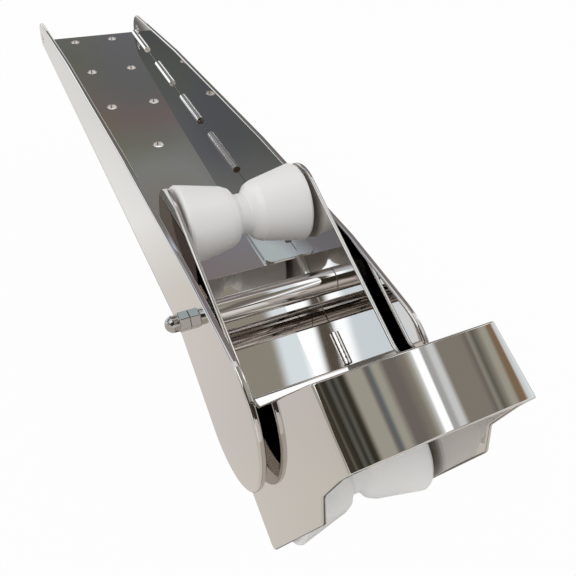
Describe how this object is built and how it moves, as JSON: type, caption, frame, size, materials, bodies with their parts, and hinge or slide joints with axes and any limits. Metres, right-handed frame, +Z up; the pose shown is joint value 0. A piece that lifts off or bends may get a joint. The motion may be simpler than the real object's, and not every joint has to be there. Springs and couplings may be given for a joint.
{
  "type": "tilting bow roller",
  "caption": "Polished stainless tilting bow roller for a boat's anchor: a channel for the deck, and a hooped cradle with two white spool rollers.",
  "frame": {"origin": "centre of the four-corner deck bolt pattern on the channel's underside", "axes": "+X forward to the bow, +Y to port, +Z up"},
  "size_m": [0.4718, 0.0931, 0.1208],
  "materials": {
    "polished_stainless": "mirror polished stainless steel",
    "weld": "bare stainless weld bead, brushed",
    "white_nylon": "smooth white hard plastic, satin"
  },
  "bodies": {
    "channel": {"channel_floor": "polished_stainless", "side_plate_port": "polished_stainless", "side_plate_starboard": "polished_stainless", "floor_welds_port": "weld", "floor_welds_starboard": "weld", "pivot_bolt": "polished_stainless", "pivot_cap_nut": "polished_stainless", "pivot_washer_port": "white_nylon", "pivot_washer_starboard": "white_nylon"},
    "cradle": {"cheek_port": "polished_stainless", "cheek_starboard": "polished_stainless", "cradle_floor": "polished_stainless", "cradle_welds_port": "weld", "cradle_welds_starboard": "weld", "pivot_sleeve": "polished_stainless", "hoop_crown": "polished_stainless", "rear_axle": "polished_stainless", "front_axle": "polished_stainless"},
    "rear_roller_body": {"rear_roller": "white_nylon"},
    "front_roller_body": {"front_roller": "white_nylon"}
  },
  "joints": [
    {"name": "cradle_tilt", "type": "hinge", "parent": "channel", "child": "cradle", "pos_m": [0.2868, 0, 0.01955], "axis": [0, 1, 0], "range_deg": [-21.2, 38]},
    {"name": "rear_roller_spin", "type": "hinge", "parent": "cradle", "child": "rear_roller_body", "pos_m": [0.24916, 0, 0.04005], "axis": [0, 1, 0], "continuous": true},
    {"name": "front_roller_spin", "type": "hinge", "parent": "cradle", "child": "front_roller_body", "pos_m": [0.36436, 0, -0.00946], "axis": [0, 1, 0], "continuous": true}
  ]
}
